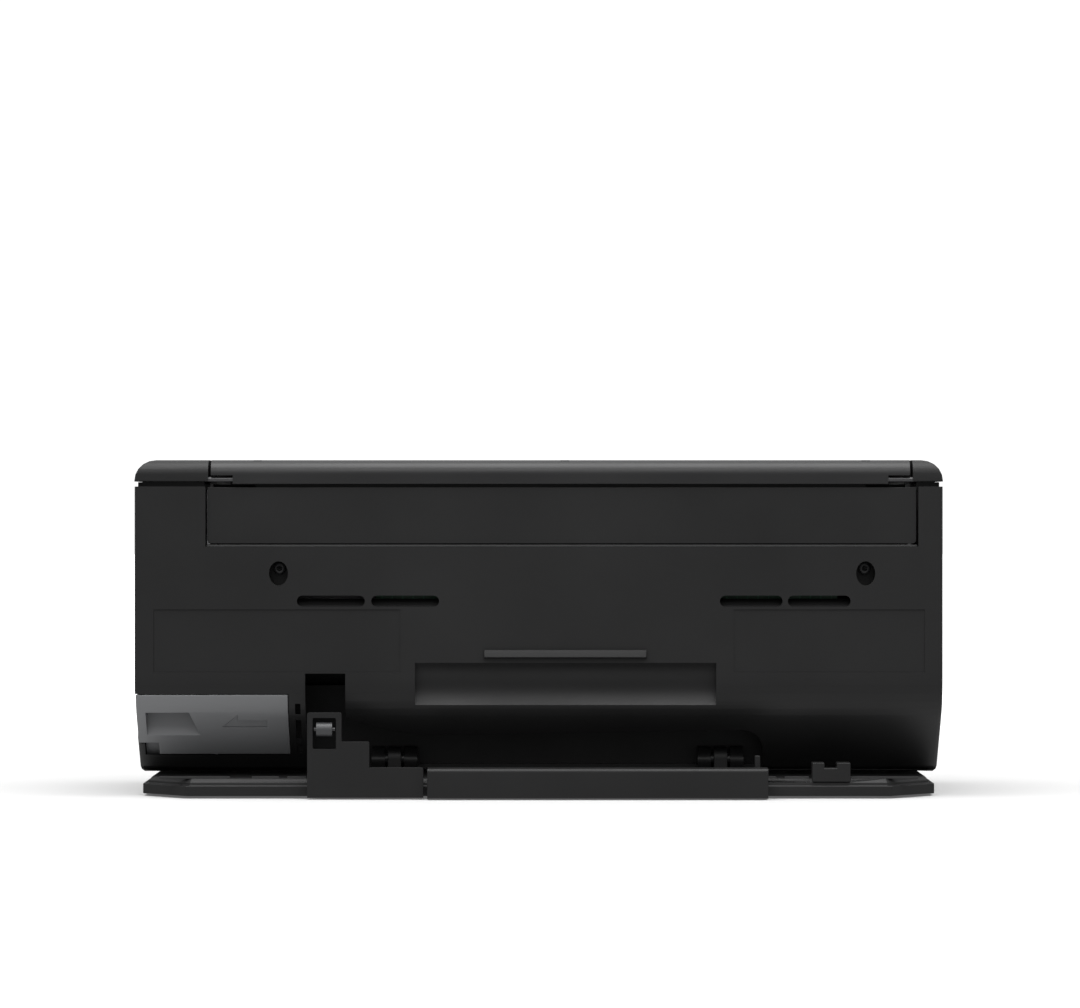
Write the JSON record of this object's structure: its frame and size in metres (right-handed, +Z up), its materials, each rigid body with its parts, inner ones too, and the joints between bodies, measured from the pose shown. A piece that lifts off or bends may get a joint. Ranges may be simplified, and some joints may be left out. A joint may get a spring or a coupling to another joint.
{
  "type": "sheet fed document scanner",
  "caption": "Low black sheet fed document scanner whose body tilts on a flat base, with a folding input tray on top and a grey position lock at the back.",
  "frame": {"origin": "middle of the footprint, at the height of the undersides of the feet", "axes": "+Z up, +Y to the rear of the machine, +X along its width towards the end with the control buttons"},
  "size_m": [0.296, 0.125, 0.1237],
  "materials": {
    "shell": "fine textured black plastic",
    "tray": "satin black plastic",
    "slider": "satin mid grey plastic",
    "rubber": "matt dark rubber",
    "guide": "smooth dark grey plastic",
    "steel": "bright zinc plated steel",
    "nylon": "natural white nylon",
    "dark": "matt black plastic",
    "glass": "clear polished glass",
    "board": "green solder mask",
    "lens": "pale blue light guide"
  },
  "bodies": {
    "base": {"base_plate": "shell", "foot_front_left": "rubber", "foot_front_right": "rubber", "foot_rear_left": "rubber", "foot_rear_right": "rubber", "tilt_pin_left": "steel", "tilt_pin_right": "steel", "rear_bar": "shell", "tilt_bracket": "shell", "detent_pin": "steel"},
    "detent_roller": {"detent_roller": "guide"},
    "body": {"rear_housing": "shell", "rear_panel": "shell", "bottom_cover": "shell", "control_cap": "shell", "side_cap": "shell", "status_lens": "lens", "tray_hinge_pin_left": "steel", "tray_hinge_pin_right": "steel", "chassis_left": "steel", "chassis_right": "steel", "rear_upper_guide": "guide", "rear_lower_guide": "guide", "rear_image_sensor": "dark", "rear_sensor_glass": "glass", "main_board": "board", "housing_screw_left": "dark", "housing_screw_right": "dark", "power_inlet": "dark", "usb_port": "steel", "feed_motor": "steel"},
    "front_cover": {"front_cover": "shell", "front_guide": "guide", "front_image_sensor": "dark", "front_sensor_glass": "glass"},
    "cover_latch": {"cover_latch": "slider"},
    "exit_door": {"exit_door": "tray"},
    "input_tray": {"tray_cover": "tray", "tray_liner": "guide"},
    "tray_extension": {"tray_extension": "tray"},
    "edge_guide_left": {"edge_guide_left": "guide"},
    "edge_guide_right": {"edge_guide_right": "guide"},
    "guide_pinion": {"guide_pinion": "nylon"},
    "position_lock": {"position_lock": "slider"},
    "power_button": {"power_button": "tray"},
    "wireless_button": {"wireless_button": "tray"},
    "stop_button": {"stop_button": "tray"},
    "scan_button": {"scan_button": "tray"},
    "conveyor": {"conveyor_shaft": "steel", "conveyor_roller": "rubber"},
    "feed": {"feed_shaft": "steel", "feed_roller": "rubber"},
    "exit": {"exit_shaft": "steel", "exit_roller": "rubber"},
    "upper_idler_gear": {"upper_idler_gear": "nylon"},
    "lower_idler_gear": {"lower_idler_gear": "nylon"},
    "motor_pinion": {"motor_pinion": "nylon"},
    "separation_roller": {"separation_roller": "rubber"},
    "upper_pinch_roller": {"upper_pinch_roller": "guide"},
    "lower_pinch_roller": {"lower_pinch_roller": "guide"}
  },
  "joints": [
    {"name": "body_tilt", "type": "hinge", "parent": "base", "child": "body", "pos_m": [0, 0.024, 0.013], "axis": [-1, 0, 0], "range_deg": [0, 25]},
    {"name": "detent_roller_spin", "type": "hinge", "parent": "base", "child": "detent_roller", "pos_m": [0.078, 0.0573, 0.0255], "axis": [1, 0, 0], "continuous": true},
    {"name": "front_cover_open", "type": "hinge", "parent": "body", "child": "front_cover", "pos_m": [0, -0.0435, 0.0268], "axis": [1, 0, 0], "range_deg": [0, 60]},
    {"name": "exit_door_open", "type": "hinge", "parent": "body", "child": "exit_door", "pos_m": [0, -0.043, 0.0138], "axis": [1, 0, 0], "range_deg": [0, 80]},
    {"name": "tray_open", "type": "hinge", "parent": "body", "child": "input_tray", "pos_m": [0, 0.0489, 0.1166], "axis": [-1, 0, 0], "range_deg": [0, 110]},
    {"name": "tray_extension_slide", "type": "slide", "parent": "input_tray", "child": "tray_extension", "axis": [0, -1, 0], "range_m": [0, 0.035]},
    {"name": "left_guide_slide", "type": "slide", "parent": "input_tray", "child": "edge_guide_left", "axis": [-1, 0, 0], "range_m": [0, 0.066]},
    {"name": "right_guide_slide", "type": "slide", "parent": "input_tray", "child": "edge_guide_right", "axis": [1, 0, 0], "range_m": [0, 0.066]},
    {"name": "guide_pinion_spin", "type": "hinge", "parent": "input_tray", "child": "guide_pinion", "pos_m": [-0.008, 0.033, 0.1178], "axis": [0, 0, 1], "range_deg": [0, 960]},
    {"name": "position_lock_slide", "type": "slide", "parent": "body", "child": "position_lock", "axis": [1, 0, 0], "range_m": [0, 0.005], "stiffness_N_per_m": 120},
    {"name": "cover_latch_pull", "type": "slide", "parent": "front_cover", "child": "cover_latch", "axis": [0, -1, 0], "range_m": [0, 0.0025], "stiffness_N_per_m": 150},
    {"name": "power_button_press", "type": "slide", "parent": "body", "child": "power_button", "axis": [0, 0, -1], "range_m": [0, 0.0012], "stiffness_N_per_m": 300},
    {"name": "wireless_button_press", "type": "slide", "parent": "body", "child": "wireless_button", "axis": [0, 0, -1], "range_m": [0, 0.0012], "stiffness_N_per_m": 300},
    {"name": "stop_button_press", "type": "slide", "parent": "body", "child": "stop_button", "axis": [0, 0, -1], "range_m": [0, 0.0012], "stiffness_N_per_m": 300},
    {"name": "scan_button_press", "type": "slide", "parent": "body", "child": "scan_button", "axis": [0, 0, -1], "range_m": [0, 0.0012], "stiffness_N_per_m": 300},
    {"name": "conveyor_spin", "type": "hinge", "parent": "body", "child": "conveyor", "pos_m": [0, 0.01236, 0.05911], "axis": [1, 0, 0], "continuous": true},
    {"name": "feed_spin", "type": "hinge", "parent": "body", "child": "feed", "pos_m": [0, 0.02704, 0.08347], "axis": [1, 0, 0], "continuous": true},
    {"name": "exit_spin", "type": "hinge", "parent": "body", "child": "exit", "pos_m": [0, 0.00127, 0.03016], "axis": [1, 0, 0], "continuous": true},
    {"name": "upper_idler_spin", "type": "hinge", "parent": "body", "child": "upper_idler_gear", "pos_m": [0, 0.01269, 0.07911], "axis": [1, 0, 0], "continuous": true},
    {"name": "lower_idler_spin", "type": "hinge", "parent": "body", "child": "lower_idler_gear", "pos_m": [0, 0.01329, 0.03913], "axis": [1, 0, 0], "continuous": true},
    {"name": "motor_spin", "type": "hinge", "parent": "body", "child": "motor_pinion", "pos_m": [0, 0.03129, 0.05745], "axis": [1, 0, 0], "continuous": true},
    {"name": "separation_spin", "type": "hinge", "parent": "front_cover", "child": "separation_roller", "pos_m": [0, 0.00902, 0.09037], "axis": [1, 0, 0], "continuous": true},
    {"name": "upper_pinch_spin", "type": "hinge", "parent": "front_cover", "child": "upper_pinch_roller", "pos_m": [0, 0.00181, 0.06315], "axis": [1, 0, 0], "continuous": true},
    {"name": "lower_pinch_spin", "type": "hinge", "parent": "front_cover", "child": "lower_pinch_roller", "pos_m": [0, -0.00928, 0.0342], "axis": [1, 0, 0], "continuous": true}
  ],
  "couplings": [
    {"joint": "feed_spin", "follows": "conveyor_spin", "ratio": 1.5556},
    {"joint": "exit_spin", "follows": "conveyor_spin", "ratio": 1.5556},
    {"joint": "upper_idler_spin", "follows": "conveyor_spin", "ratio": -2.3333},
    {"joint": "lower_idler_spin", "follows": "conveyor_spin", "ratio": -2.3333},
    {"joint": "motor_spin", "follows": "conveyor_spin", "ratio": -2.8},
    {"joint": "right_guide_slide", "follows": "left_guide_slide", "ratio": 1},
    {"joint": "guide_pinion_spin", "follows": "left_guide_slide", "rad_per_m": 250}
  ]
}
